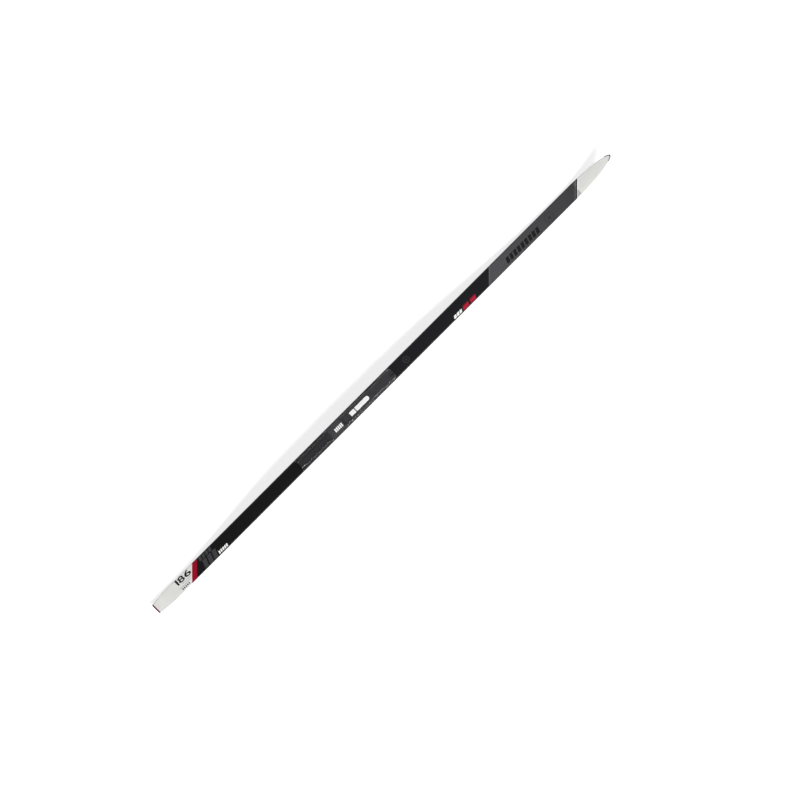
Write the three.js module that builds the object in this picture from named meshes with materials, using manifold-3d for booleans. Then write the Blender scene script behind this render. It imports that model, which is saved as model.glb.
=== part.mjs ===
// A cross country ski: a skating ski of marked length 186 cm, with a cap construction and a
// slide-on binding plate. Millimetres. +X runs along the ski to its tip, +Z is up, and the
// origin is under the middle of the ski, on the plane that its running surface stands on.

import * as THREE from 'three';
import { mergeVertices } from 'three/addons/utils/BufferGeometryUtils.js';
import Module from 'manifold-3d';

const wasm = await Module();
wasm.setup();

// ---- driving dimensions -------------------------------------------------------------------

const LENGTH = 1860;
const WIDTH = 42.5;
const TIP_X = LENGTH / 2;
const TAIL_X = -LENGTH / 2;
const CLEARANCE = 0.2; // bond line left between neighbouring layers

// Outline seen from above: a superellipse nose and a square-cut tail that narrows slightly.
const NOSE_LENGTH = 150;
const NOSE_POWER_X = 1.8;
const NOSE_POWER_Y = 2.2;
const TAIL_TAPER = 66;
const TAIL_END_WIDTH = 31;
const TAIL_TAPER_POWER = 1.6;

// Side profile of the running surface: two flat contact zones with an arch between them.
const CAMBER = 16;
const REAR_CONTACT_X = [-850, -800];
const FRONT_CONTACT_X = [640, 735];
const CROWN_X = [-350, 50]; // level top of the arch, under the boot
const TIP_RISE = 42;
const TIP_RISE_POWER = 2.2;
const TAIL_RISE = 6;

// Thickness from running surface to deck.
const DECK_THICKNESS = 25; // over the crown
const TIP_THICKNESS = 6.8;
const TAIL_THICKNESS = 7.2;

// Layers of the section.
const BASE_THICKNESS = 1.4;
const GROOVE_WIDTH = 7;
const GROOVE_DEPTH = 0.8;
const LAMINATE_THICKNESS = 0.6;
const SKIN_THICKNESS = 0.9; // printed cap
const STRIP_WIDTH = 2;
const STRIP_HEIGHT = [1.8, 5]; // at the tip, over the crown
const SIDE_INSET = [0.9, 2.2]; // how far the cap sides lean in: at the tip, over the crown
const SHOULDER_RADIUS = [0.8, 1];

// Core of three wooden stringers with an air channel on each side of the middle one.
const CORE_X = [-840, 760];
const STRINGER_HALF_WIDTH = 4.5;
const CHANNEL_WIDTH = 4;
const REINFORCEMENT_X = [-385, 85];
const REINFORCEMENT_HALF_WIDTH = 14;
const REINFORCEMENT_THICKNESS = 1.2;

// End pieces.
const NOSE_RIM = 3.1;
const NOSE_RIM_ANGLE = 24 * Math.PI / 180;
const TAIL_CAP_LENGTH = 4;

// Binding plate, measured along the ski from its tail end.
const REAR_PLATE_AT = [586, 714.8];
const BRIDGE_AT = [715.2, 765.2];
const FRONT_PLATE_AT = [765.6, 972];
const PLATE_HALF_WIDTH = 18;
const ADHESIVE_THICKNESS = 0.4;
const FLANGE_HEIGHT = 1.4;
const LIP_HEIGHT = 3.2; // underside of the rail lips
const PLATE_HEIGHT = 5.4;
const BRIDGE_HEIGHT = 3;
const RAIL_UNDERCUT = 2.2;
const REAR_RAIL_HALF_WIDTH = 14;
const FRONT_RAIL_HALF_WIDTH = 16.5;
const STOP_LENGTH = 15;
const STOP_NOTCH_HALF_WIDTH = 6;
const REAR_HOLLOW_DEPTH = 6.3; // the rear end curves in between its corners
const REAR_HOLLOW_RADIUS = 28;
const LIP_GAP = 3; // the lips are cut into equal teeth
const REAR_LIPS_FROM = 608.5;
const REAR_LIP_PITCH = 21.5;
const FRONT_LIP_GAPS_FROM = 782.8;
const FRONT_LIP_PITCH = 23.1;
const LIP_GAPS_PER_PLATE = 4;
const LIP_OPENING = [873, 922]; // where a binding drops in between the lips
const FORWARD_LIP_GAP = 945.5;
const LABEL_THICKNESS = 0.3;
const LABEL_HALF_WIDTH = 6.7;
const LABEL_RECESS = 0.5;
const SQUARE_LABEL_AT = [798, 817];
const SCALE_LABEL_AT = [820, 872];
const THUMB_RECESS_AT = [767.2, 795];
const THUMB_RECESS_HALF_WIDTH = 10.5;
const THUMB_RECESS_DEPTH = 1.6;

// ---- materials ----------------------------------------------------------------------------

const finish = (color, roughness, metalness = 0) =>
  new THREE.MeshStandardMaterial({ color, roughness, metalness });

const MATERIAL = {
  print: finish(0x1e1e20, 0.32),
  polyethylene: finish(0x18181a, 0.55),
  glassFibre: finish(0xb9b48f, 0.45),
  wood: finish(0xd2b98c, 0.7),
  phenolic: finish(0x2a2522, 0.5),
  abs: finish(0x141415, 0.5),
  nylon: finish(0x333337, 0.5),
  urethane: finish(0x3a3a3d, 0.6),
  redUrethane: finish(0x50222a, 0.55),
  foamTape: finish(0xd9d9d4, 0.8),
  label: finish(0xf2f2f0, 0.4),
};

// ---- lines of the ski ---------------------------------------------------------------------

const clamp01 = (t) => Math.min(1, Math.max(0, t));
const smooth = (t) => clamp01(t) ** 2 * (3 - 2 * clamp01(t));
const mix = (range, t) => range[0] + (range[1] - range[0]) * t;
const fromTail = (distance) => TAIL_X + distance;

// Rises from 0 to 1 along [from, crown start] and falls again along [crown end, to].
const arch = (x, from, to) =>
  x < CROWN_X[0]
    ? smooth((x - from) / (CROWN_X[0] - from))
    : smooth((to - x) / (to - CROWN_X[1]));

function halfWidth(x, noseCut = 0) {
  const fromEnd = x - TAIL_X;
  if (fromEnd < TAIL_TAPER) {
    const widening = 1 - (1 - fromEnd / TAIL_TAPER) ** TAIL_TAPER_POWER;
    return mix([TAIL_END_WIDTH, WIDTH], widening) / 2;
  }
  const along = (x - (TIP_X - NOSE_LENGTH)) / (NOSE_LENGTH - noseCut);
  if (along <= 0) return WIDTH / 2;
  return (WIDTH / 2) * Math.max(0, 1 - along ** NOSE_POWER_X) ** (1 / NOSE_POWER_Y);
}

function baseHeight(x) {
  const tip = clamp01((x - FRONT_CONTACT_X[1]) / (TIP_X - FRONT_CONTACT_X[1]));
  const tail = clamp01((REAR_CONTACT_X[0] - x) / (REAR_CONTACT_X[0] - TAIL_X));
  const camber = CAMBER * arch(x, REAR_CONTACT_X[1], FRONT_CONTACT_X[0]);
  return camber + TIP_RISE * tip ** TIP_RISE_POWER + TAIL_RISE * tail ** 2;
}

// 0 at the thin ends of the ski and 1 over the crown.
const fullness = (x) => arch(x, TAIL_X + 40, FRONT_CONTACT_X[1] + 40);

const thickness = (x) =>
  mix([x < 0 ? TAIL_THICKNESS : TIP_THICKNESS, DECK_THICKNESS], fullness(x));

// What one cross section of the ski needs to know.
function station(x) {
  const full = fullness(x);
  const half = halfWidth(x, NOSE_RIM + 0.3);
  const narrow = Math.min(1, half / 7); // thins the side walls in the nose
  return {
    x,
    half,
    narrow,
    bottom: baseHeight(x),
    deck: thickness(x),
    strip: BASE_THICKNESS + CLEARANCE + mix(STRIP_HEIGHT, full),
    inset: mix(SIDE_INSET, full) * narrow,
    radius: mix(SHOULDER_RADIUS, full) * narrow,
  };
}

// Where layers start and stop. Each end is a section of every layer, so that they nest closely.
const LAYERS_FROM = TAIL_X + TAIL_CAP_LENGTH + 0.3;
const SPACERS = [[LAYERS_FROM + 1, CORE_X[0] - 0.5], [CORE_X[1] + 0.5, TIP_X - 11]];
const WALLS_TO = SPACERS[1][1];
const LAYERS_TO = TIP_X - NOSE_RIM - 1.4;

// Section positions: even steps, closer together where the ends curve and narrow.
function sectionPositions() {
  const marks = [LAYERS_FROM, LAYERS_TO, ...SPACERS.flat(), ...CORE_X, ...REINFORCEMENT_X];
  marks.push(...REAR_CONTACT_X, ...FRONT_CONTACT_X);
  for (const share of [0.35, 0.7, 1]) marks.push(TAIL_X + TAIL_TAPER * share);
  for (let x = CROWN_X[0]; x > REAR_CONTACT_X[1]; x -= 50) marks.push(x);
  for (let x = CROWN_X[1]; x < FRONT_CONTACT_X[0]; x += 50) marks.push(x);
  const noseStart = TIP_X - NOSE_LENGTH;
  const noseSteps = 13;
  for (let step = 1; step <= noseSteps; step++) {
    const angle = (Math.PI / 2) * (step / noseSteps);
    marks.push(noseStart + (NOSE_LENGTH - NOSE_RIM) * Math.cos(angle) ** (2 / NOSE_POWER_X));
  }
  return marks.filter((x) => x >= LAYERS_FROM && x <= LAYERS_TO).sort((a, b) => a - b);
}

const SECTION_X = sectionPositions();

const stations = (from, to) => SECTION_X.filter((x) => x >= from && x <= to).map(station);

// ---- solids -------------------------------------------------------------------------------

// Joins equal closed rings of points into one closed solid. capFaces(ring) gives the triangles
// of an end face, facing onwards past the last ring.
function joinRings(rings, capFaces) {
  const count = rings[0].length;
  const faces = [];
  for (let i = 0; i + 1 < rings.length; i++) {
    for (let j = 0; j < count; j++) {
      const a = i * count + j;
      const b = i * count + ((j + 1) % count);
      faces.push(a, b, b + count, a, b + count, a + count);
    }
  }
  const last = (rings.length - 1) * count;
  for (const [a, b, c] of capFaces(rings.at(-1))) faces.push(last + a, last + b, last + c);
  for (const [a, b, c] of capFaces(rings[0])) faces.push(a, c, b);
  const geometry = new THREE.BufferGeometry();
  geometry.setAttribute('position', new THREE.Float32BufferAttribute(rings.flat(2), 3));
  geometry.setIndex(faces);
  return geometry;
}

// A solid along the ski. section(s) gives [y, z] pairs that run anticlockwise seen from the
// tip, with z measured up from the running surface.
function loft(along, section) {
  const rings = along.map((s) => section(s).map(([y, z]) => [s.x, y, s.bottom + z]));
  const flat = (ring) => ring.map(([, y, z]) => new THREE.Vector2(y, z));
  return joinRings(rings, (ring) => THREE.ShapeUtils.triangulateShape(flat(ring), []));
}

const mirror = ([y, z]) => [-y, z];

// Closes a section from the points of its left half, given from the bottom up.
const symmetric = (leftHalf) => [...leftHalf, ...leftHalf.map(mirror).reverse()];

// Shoulder line of the cap, set in by `offset`, from its lower rim up to the deck.
function shoulder(s, offset) {
  const inward = offset * s.narrow;
  const half = s.half - inward;
  const top = s.deck - offset;
  const rim = s.strip + CLEARANCE;
  const radius = Math.max(0.3 * s.narrow, s.radius - offset / 2);
  const edge = half - s.inset;
  const lean = s.inset * (radius / (s.deck - rim));
  return [
    [half, rim],
    [edge + lean, top - radius],
    [edge - 0.29 * radius, top - 0.29 * radius],
    [edge - radius, top],
  ];
}

// An arched shell between two offsets of the shoulder line.
function archedShell(s, outer, inner) {
  const outside = shoulder(s, outer);
  const inside = shoulder(s, inner);
  return [
    ...outside,
    ...outside.map(mirror).reverse(),
    ...inside.map(mirror),
    ...[...inside].reverse(),
  ];
}

function solidOf(geometry) {
  const bare = geometry.clone();
  bare.deleteAttribute('normal');
  bare.deleteAttribute('uv');
  const merged = mergeVertices(bare, 1e-4);
  return new wasm.Manifold(new wasm.Mesh({
    numProp: 3,
    vertProperties: new Float32Array(merged.attributes.position.array),
    triVerts: new Uint32Array(merged.index.array),
  }));
}

function geometryOf(solid) {
  const mesh = solid.getMesh();
  const geometry = new THREE.BufferGeometry();
  geometry.setAttribute('position', new THREE.BufferAttribute(mesh.vertProperties, 3));
  geometry.setIndex(new THREE.BufferAttribute(mesh.triVerts, 1));
  return geometry;
}

// A plate cut to a plan outline, between two heights.
function slab(outline, low, high, curveSegments = 6) {
  const geometry = new THREE.ExtrudeGeometry(outline, {
    depth: high - low,
    bevelEnabled: false,
    curveSegments,
  });
  return geometry.translate(0, 0, low);
}

// Rectangle from x0 to x1, symmetric about the ski's centre line, with rounded corners.
function roundedPlan(x0, x1, half, rearRadius, frontRadius) {
  const shape = new THREE.Shape();
  shape.moveTo(x0 + rearRadius, -half);
  shape.lineTo(x1 - frontRadius, -half);
  if (frontRadius) shape.absarc(x1 - frontRadius, frontRadius - half, frontRadius, -Math.PI / 2, 0);
  shape.lineTo(x1, half - frontRadius);
  if (frontRadius) shape.absarc(x1 - frontRadius, half - frontRadius, frontRadius, 0, Math.PI / 2);
  shape.lineTo(x0 + rearRadius, half);
  if (rearRadius) {
    shape.absarc(x0 + rearRadius, half - rearRadius, rearRadius, Math.PI / 2, Math.PI);
    shape.absarc(x0 + rearRadius, rearRadius - half, rearRadius, Math.PI, Math.PI * 1.5);
  }
  return shape;
}

// ---- the laminated ski --------------------------------------------------------------------

const group = new THREE.Group();

function add(name, geometry, material) {
  const mesh = new THREE.Mesh(geometry, material);
  mesh.name = name;
  group.add(mesh);
}

function runningBase() {
  const groove = GROOVE_WIDTH / 2;
  return loft(stations(LAYERS_FROM, LAYERS_TO), (s) => {
    const g = Math.min(groove, s.half / 3);
    const depth = GROOVE_DEPTH * s.narrow ** 2;
    return [
      [-g, 0], [-g * 0.6, depth], [g * 0.6, depth], [g, 0],
      [s.half, 0], [s.half, BASE_THICKNESS], [-s.half, BASE_THICKNESS], [-s.half, 0],
    ];
  });
}

function edgeStrip(side) {
  return loft(stations(LAYERS_FROM, WALLS_TO), (s) => {
    const low = BASE_THICKNESS + CLEARANCE;
    const outer = side * s.half;
    const inner = side * (s.half - STRIP_WIDTH * s.narrow);
    const [right, left] = [Math.max(outer, inner), Math.min(outer, inner)];
    return [[left, low], [right, low], [right, s.strip], [left, s.strip]];
  });
}

function flatLaminate() {
  const low = BASE_THICKNESS + CLEARANCE;
  return loft(stations(LAYERS_FROM, WALLS_TO), (s) => {
    const half = s.half - (STRIP_WIDTH + CLEARANCE) * s.narrow;
    const high = low + LAMINATE_THICKNESS;
    return [[-half, low], [half, low], [half, high], [-half, high]];
  });
}

const innerOffset = SKIN_THICKNESS + LAMINATE_THICKNESS + 2 * CLEARANCE;
const coreBottom = BASE_THICKNESS + LAMINATE_THICKNESS + 2 * CLEARANCE;

const topSheet = () =>
  loft(stations(LAYERS_FROM, LAYERS_TO), (s) => archedShell(s, 0, SKIN_THICKNESS));

const archedLaminate = () =>
  loft(stations(LAYERS_FROM, WALLS_TO), (s) =>
    archedShell(s, SKIN_THICKNESS + CLEARANCE, innerOffset - CLEARANCE));

// Height of whatever fills the inside of the cap, lower where the reinforcement lies on it.
function coreTop(s) {
  const under = s.x > REINFORCEMENT_X[0] - 1 && s.x < REINFORCEMENT_X[1] + 1;
  return s.deck - innerOffset - (under ? REINFORCEMENT_THICKNESS + CLEARANCE : 0);
}

// The inside of the cap from y = inner outwards, as one side of the section.
function filling(s, inner) {
  const low = s.half - (STRIP_WIDTH + 2 * CLEARANCE) * s.narrow;
  const high = s.half - s.inset - (innerOffset + CLEARANCE + 1.2) * s.narrow;
  return [
    [inner, coreBottom], [low, coreBottom], [low, s.strip], [high, coreTop(s)],
    [inner, coreTop(s)],
  ];
}

function coreStations() {
  const step = 0.4;
  const [rear, front] = REINFORCEMENT_X;
  const marks = [rear - 1 - step, rear - 1 + 1e-3, front + 1 - 1e-3, front + 1 + step];
  const all = [...stations(...CORE_X).filter((s) => marks.every((x) => Math.abs(x - s.x) > 2))];
  return [...all, ...marks.map(station)].sort((a, b) => a.x - b.x);
}

const innerStringerSide = STRINGER_HALF_WIDTH + CHANNEL_WIDTH;

const centreStringer = () =>
  loft(coreStations(), (s) => {
    const half = STRINGER_HALF_WIDTH;
    const top = coreTop(s);
    return [[-half, coreBottom], [half, coreBottom], [half, top], [-half, top]];
  });

const sideStringer = (side) =>
  loft(coreStations(), (s) => {
    const ring = filling(s, innerStringerSide);
    return side > 0 ? ring : ring.map(mirror).reverse();
  });

const endSpacer = (from, to) =>
  loft(stations(from, to), (s) => symmetric(filling(s, 0).slice(1, 4)));

const reinforcement = () =>
  loft(stations(...REINFORCEMENT_X), (s) => {
    const top = s.deck - innerOffset;
    const half = REINFORCEMENT_HALF_WIDTH;
    const bottom = top - REINFORCEMENT_THICKNESS;
    return [[-half, bottom], [half, bottom], [half, top], [-half, top]];
  });

// Rim round the nose, thick in front and running out to a thin edge on each side.
function tipProtector() {
  const steps = 18;
  const onNose = (length, angle) => [
    TIP_X - NOSE_LENGTH + length * Math.cos(angle) ** (2 / NOSE_POWER_X),
    Math.sign(angle) * (WIDTH / 2) * Math.abs(Math.sin(angle)) ** (2 / NOSE_POWER_Y),
  ];
  const rings = [];
  for (let i = 0; i <= steps; i++) {
    const angle = NOSE_RIM_ANGLE * (2 * i / steps - 1);
    const outer = onNose(NOSE_LENGTH, angle);
    const inner = onNose(NOSE_LENGTH - NOSE_RIM, angle);
    const at = ([x, y], share) => [x, y, baseHeight(x) + share * thickness(x)];
    rings.push([at(inner, 0), at(inner, 1), at(outer, 1), at(outer, 0)]);
  }
  return joinRings(rings, () => [[0, 1, 2], [0, 2, 3]]);
}

// Block across the square-cut tail, its rear corners and edges eased.
function tailProtector() {
  const eased = [[0, 2.4, 0.9], [0.9, 0.9, 0.3], [2.4, 0.1, 0], [TAIL_CAP_LENGTH, 0, 0]];
  const along = eased.map(([from, narrower, lower]) => ({
    ...station(TAIL_X + from), narrower, lower,
  }));
  return loft(along, (s) => {
    const half = s.half - s.narrower;
    const [low, high] = [s.lower, s.deck - s.lower];
    return symmetric([[half - 0.8, low], [half, low + 0.8], [half, high - 1], [half - 1, high]]);
  });
}

add('running_base', runningBase(), MATERIAL.polyethylene);
add('left_edge_strip', edgeStrip(1), MATERIAL.abs);
add('right_edge_strip', edgeStrip(-1), MATERIAL.abs);
add('base_laminate', flatLaminate(), MATERIAL.glassFibre);
add('core_left_stringer', sideStringer(1), MATERIAL.wood);
add('core_centre_stringer', centreStringer(), MATERIAL.wood);
add('core_right_stringer', sideStringer(-1), MATERIAL.wood);
add('tail_spacer', endSpacer(...SPACERS[0]), MATERIAL.abs);
add('tip_spacer', endSpacer(...SPACERS[1]), MATERIAL.abs);
add('binding_reinforcement', reinforcement(), MATERIAL.phenolic);
add('upper_laminate', archedLaminate(), MATERIAL.glassFibre);
add('top_sheet', topSheet(), MATERIAL.print);
add('tip_protector', tipProtector(), MATERIAL.urethane);
add('tail_protector', tailProtector(), MATERIAL.redUrethane);

// ---- the binding plate --------------------------------------------------------------------

const deckZ = CAMBER + DECK_THICKNESS;
const plateZ = deckZ + ADHESIVE_THICKNESS + 2 * CLEARANCE;
const railTop = plateZ + PLATE_HEIGHT;

const tape = ([rear, front]) => {
  const plan = roundedPlan(fromTail(rear) + 2, fromTail(front) - 2, PLATE_HALF_WIDTH - 2, 4, 4);
  const low = deckZ + CLEARANCE;
  return slab(plan, low, low + ADHESIVE_THICKNESS);
};

// A flange with a raised rail on a narrower neck, which leaves a lip on each side.
function rail(flangePlan, railPlan, neckPlan) {
  const flange = solidOf(slab(flangePlan, plateZ, plateZ + FLANGE_HEIGHT));
  const neck = solidOf(slab(neckPlan, plateZ, plateZ + LIP_HEIGHT + 0.5));
  const head = solidOf(slab(railPlan, plateZ + LIP_HEIGHT, railTop));
  return flange.add(neck).add(head);
}

// Flares the sides of a rectangle out to `wide` over its last stretch.
function flaredPlan(x0, x1, half, wide, flare, rearRadius) {
  const shape = new THREE.Shape();
  const bend = x1 - flare;
  shape.moveTo(x0 + rearRadius, -half);
  shape.lineTo(bend, -half);
  shape.bezierCurveTo(bend + flare * 0.4, -half, bend + flare * 0.4, -wide, x1 - 2, -wide);
  shape.lineTo(x1, -wide);
  shape.lineTo(x1, wide);
  shape.lineTo(x1 - 2, wide);
  shape.bezierCurveTo(bend + flare * 0.4, wide, bend + flare * 0.4, half, bend, half);
  shape.lineTo(x0 + rearRadius, half);
  shape.absarc(x0 + rearRadius, half - rearRadius, rearRadius, Math.PI / 2, Math.PI);
  shape.absarc(x0 + rearRadius, rearRadius - half, rearRadius, Math.PI, Math.PI * 1.5);
  return shape;
}

// A cut down to `floor` through everything above it.
function cutter([from, to], half, [rearRadius, frontRadius], floor) {
  const plan = roundedPlan(fromTail(from), fromTail(to), half, rearRadius, frontRadius);
  return solidOf(slab(plan, floor, railTop + 1));
}

// Gaps of equal width, the first one centred on `first`.
const gaps = (first, pitch, count) =>
  Array.from({ length: count }, (_, i) => {
    const middle = first + pitch * i;
    return [middle - LIP_GAP / 2, middle + LIP_GAP / 2];
  });

// Takes the lips off both sides of a rail along each span, a little way into its neck.
function openLips(whole, spans, railHalf) {
  const bite = 0.3;
  const inner = railHalf - RAIL_UNDERCUT - bite;
  const outer = PLATE_HALF_WIDTH + 1;
  const low = plateZ + LIP_HEIGHT - bite;
  let open = whole;
  for (const [from, to] of spans) {
    for (const side of [-1, 1]) {
      const box = new THREE.BoxGeometry(to - from, outer - inner, railTop + 1 - low);
      box.translate(fromTail((from + to) / 2), side * (inner + outer) / 2, (low + railTop + 1) / 2);
      open = open.subtract(solidOf(box));
    }
  }
  return open;
}

function rearPlate() {
  const rear = REAR_PLATE_AT[0];
  const [x0, x1] = REAR_PLATE_AT.map(fromTail);
  const half = REAR_RAIL_HALF_WIDTH;
  const whole = rail(
    roundedPlan(x0, x1, PLATE_HALF_WIDTH, 1.5, 0),
    flaredPlan(x0 + 1, x1, half, PLATE_HALF_WIDTH, 16, 1.5),
    flaredPlan(x0 + 2, x1, half - RAIL_UNDERCUT, PLATE_HALF_WIDTH - 1, 16, 1),
  );
  const hollow = new THREE.Shape();
  hollow.absarc(x0 + REAR_HOLLOW_DEPTH - REAR_HOLLOW_RADIUS, 0, REAR_HOLLOW_RADIUS, 0, 2 * Math.PI);
  const hollowed = whole.subtract(solidOf(slab(hollow, plateZ - 1, railTop + 1, 24)));
  const firstGap = REAR_LIPS_FROM + REAR_LIP_PITCH;
  const lipGaps = gaps(firstGap, REAR_LIP_PITCH, LIP_GAPS_PER_PLATE);
  return openLips(hollowed, [[rear - 1, REAR_LIPS_FROM], ...lipGaps], half);
}

const bridge = () => {
  const plan = roundedPlan(...BRIDGE_AT.map(fromTail), PLATE_HALF_WIDTH, 0, 0);
  return slab(plan, plateZ, plateZ + BRIDGE_HEIGHT);
};

function frontPlate() {
  const front = FRONT_PLATE_AT[1];
  const [x0, x1] = FRONT_PLATE_AT.map(fromTail);
  const half = FRONT_RAIL_HALF_WIDTH;
  const whole = rail(
    roundedPlan(x0, x1, PLATE_HALF_WIDTH, 0, 7),
    roundedPlan(x0, x1, half, 0, 6),
    roundedPlan(x0, x1 - 1, half - RAIL_UNDERCUT, 0, 5),
  );
  const labels = [SQUARE_LABEL_AT[0] - 0.4, SCALE_LABEL_AT[1] + 0.4];
  const recessed = whole
    .subtract(cutter(labels, LABEL_HALF_WIDTH + 0.4, [1, 6.4], railTop - LABEL_RECESS))
    .subtract(cutter(THUMB_RECESS_AT, THUMB_RECESS_HALF_WIDTH, [3, 3], railTop - THUMB_RECESS_DEPTH))
    .subtract(cutter([front - STOP_LENGTH, front + 1], STOP_NOTCH_HALF_WIDTH, [2, 0],
      plateZ + FLANGE_HEIGHT));
  const lipGaps = [
    ...gaps(FRONT_LIP_GAPS_FROM, FRONT_LIP_PITCH, LIP_GAPS_PER_PLATE),
    LIP_OPENING,
    ...gaps(FORWARD_LIP_GAP, 0, 1),
  ];
  return openLips(recessed, lipGaps, half);
}

function label(at, frontRadius) {
  const plan = roundedPlan(...at.map(fromTail), LABEL_HALF_WIDTH, 0.8, frontRadius);
  const low = railTop - LABEL_RECESS + 0.1;
  return slab(plan, low, low + LABEL_THICKNESS);
}

const rearTapeAt = [REAR_PLATE_AT[0] + REAR_HOLLOW_DEPTH, REAR_PLATE_AT[1]];
add('rear_plate_tape', tape(rearTapeAt), MATERIAL.foamTape);
add('bridge_tape', tape(BRIDGE_AT), MATERIAL.foamTape);
add('front_plate_tape', tape(FRONT_PLATE_AT), MATERIAL.foamTape);
add('rear_binding_plate', geometryOf(rearPlate()), MATERIAL.nylon);
add('plate_bridge', bridge(), MATERIAL.nylon);
add('front_binding_plate', geometryOf(frontPlate()), MATERIAL.nylon);
add('square_label', label(SQUARE_LABEL_AT, 0.8), MATERIAL.label);
add('scale_label', label(SCALE_LABEL_AT, 6), MATERIAL.label);

export default group;
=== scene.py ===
import math

import bmesh
import bpy
from bpy.props import FloatProperty, FloatVectorProperty, PointerProperty
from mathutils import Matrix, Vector


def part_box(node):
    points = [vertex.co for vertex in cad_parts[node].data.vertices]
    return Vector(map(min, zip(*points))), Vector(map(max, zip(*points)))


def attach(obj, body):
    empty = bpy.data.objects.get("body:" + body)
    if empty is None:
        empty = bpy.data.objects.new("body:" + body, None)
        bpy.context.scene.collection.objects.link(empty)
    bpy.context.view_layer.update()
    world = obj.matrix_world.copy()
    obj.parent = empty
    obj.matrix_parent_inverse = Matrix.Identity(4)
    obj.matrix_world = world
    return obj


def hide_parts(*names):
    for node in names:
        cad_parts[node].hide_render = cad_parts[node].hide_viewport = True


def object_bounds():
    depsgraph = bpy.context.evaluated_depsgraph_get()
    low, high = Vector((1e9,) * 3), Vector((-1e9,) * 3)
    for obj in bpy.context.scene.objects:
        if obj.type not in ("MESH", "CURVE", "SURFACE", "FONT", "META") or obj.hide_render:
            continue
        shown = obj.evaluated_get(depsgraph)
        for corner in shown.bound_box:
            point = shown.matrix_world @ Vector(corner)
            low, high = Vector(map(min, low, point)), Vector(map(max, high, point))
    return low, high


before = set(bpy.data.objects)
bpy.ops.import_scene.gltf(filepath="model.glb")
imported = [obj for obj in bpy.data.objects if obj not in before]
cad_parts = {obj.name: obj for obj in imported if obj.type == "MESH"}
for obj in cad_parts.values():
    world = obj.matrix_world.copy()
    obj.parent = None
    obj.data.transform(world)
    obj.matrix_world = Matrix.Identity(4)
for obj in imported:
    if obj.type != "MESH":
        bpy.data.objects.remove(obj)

CAD_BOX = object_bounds()

bl_info = {
    "name": "Cross Country Ski",
    "version": (1, 0, 0),
    "blender": (4, 5, 0),
    "location": "View3D > Sidebar > Ski",
    "description": "Builds the finished surfaces of a skating ski around its fixed frame",
    "category": "Object",
}

# ---- driving dimensions, in millimetres ------------------------------------------------------
# +X runs to the tip, +Z is up, and the running surface stands on Z = 0. A name that ends in X
# is a place in the frame. Spans, colour breaks and printed marks are written from the tail end,
# and from_tail() turns them into the frame's X. Pairs are (at the thin ends, over the crown),
# except where they are a start and a stop.

MM = 0.001
LENGTH = round((CAD_BOX[1][0] - CAD_BOX[0][0]) / MM, 3)
WIDTH = round((CAD_BOX[1][1] - CAD_BOX[0][1]) / MM, 3)
TIP_X = LENGTH / 2
TAIL_X = -LENGTH / 2
CLEARANCE = 0.2

NOSE_LENGTH = 150
NOSE_POWER_X = 1.8
NOSE_POWER_Y = 2.2
NOSE_RIM = 3.1
NOSE_RIM_ANGLE = math.radians(24)
NOSE_START = TIP_X - NOSE_LENGTH
NOSE_INSIDE = NOSE_RIM + 0.3
TAIL_TAPER = 66
TAIL_END_WIDTH = 31
TAIL_TAPER_POWER = 1.6
TAIL_CAP_LENGTH = 4
TAIL_ROUND = 1.3

CAMBER = 16
REAR_CONTACT_X = (-850, -800)
FRONT_CONTACT_X = (640, 735)
CROWN_X = (-350, 50)
TIP_RISE = 42
TIP_RISE_POWER = 2.2
TAIL_RISE = 6

DECK_THICKNESS = 25
TIP_THICKNESS = 6.8
TAIL_THICKNESS = 7.2
SWELL_X = (TAIL_X + 40, FRONT_CONTACT_X[1] + 40)
BASE_THICKNESS = 1.4
SKIN_THICKNESS = 0.9
GROOVE_WIDTH = 7
GROOVE_DEPTH = 0.8
STRIP_WIDTH = 2
STRIP_HEIGHT = (1.8, 5)
SIDE_INSET = (0.9, 2.2)
SHOULDER_RADIUS = (0.8, 1)
SHOULDER_LEAST = 0.3
SLIM_HALF_WIDTH = 7

LAYERS_FROM = TAIL_X + TAIL_CAP_LENGTH + 0.3
LAYERS_TO = TIP_X - NOSE_RIM - 1.4
CAP_TO = TIP_X - NOSE_RIM - 0.4
WALLS_TO = TIP_X - 11
STATION_STEP = 8
SHORTEST_STEP = 0.2
NOSE_STEPS = 44
SHOULDER_STEPS = 5

PLATE_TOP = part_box("rear_binding_plate")[1].z / MM
PLATE_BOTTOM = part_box("rear_binding_plate")[0].z / MM
FLANGE_TOP = PLATE_BOTTOM + 1.4
BRIDGE_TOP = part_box("plate_bridge")[1].z / MM
LABEL_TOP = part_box("scale_label")[1].z / MM

# Cuts and lips of the binding plates. A lip's edge is rounded from this far off the centre line.
CHANNEL_SPAN = (600, 704)
CHANNEL_SIDES = (6.2, 9.6)
CHANNEL_ROUND = 1.6
CHANNEL_DEPTH = 0.9
SLOT_SPAN = (767.4, 773)
SLOT_HALF_WIDTH = 7.2
SLOT_ROUND = 1.2
SLOT_DEPTH = 3.4
CUTTER_ABOVE = 2
REAR_LIP_FROM = 9.7
FRONT_LIP_FROM = 11

LABEL_EDGE = 0.06
LABEL_MARGIN = 2.5
TICK_WIDTH = 0.8
LONG_TICK, SHORT_TICK = 2.4, 1.3
BRIDGE_BAR_FROM = 733
BRIDGE_BAR_PITCH = 6.2
BRIDGE_BAR_LENGTH = 4.4

INK_THICKNESS = 0.08
INK_SUNK = 0.02
WELD = 0.001


def from_tail(distance):
    return TAIL_X + distance


# ---- lines of the ski --------------------------------------------------------------------------


def clamp01(t):
    return min(1.0, max(0.0, t))


def smooth(t):
    t = clamp01(t)
    return t * t * (3 - 2 * t)


def mix(pair, t):
    return pair[0] + (pair[1] - pair[0]) * t


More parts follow.
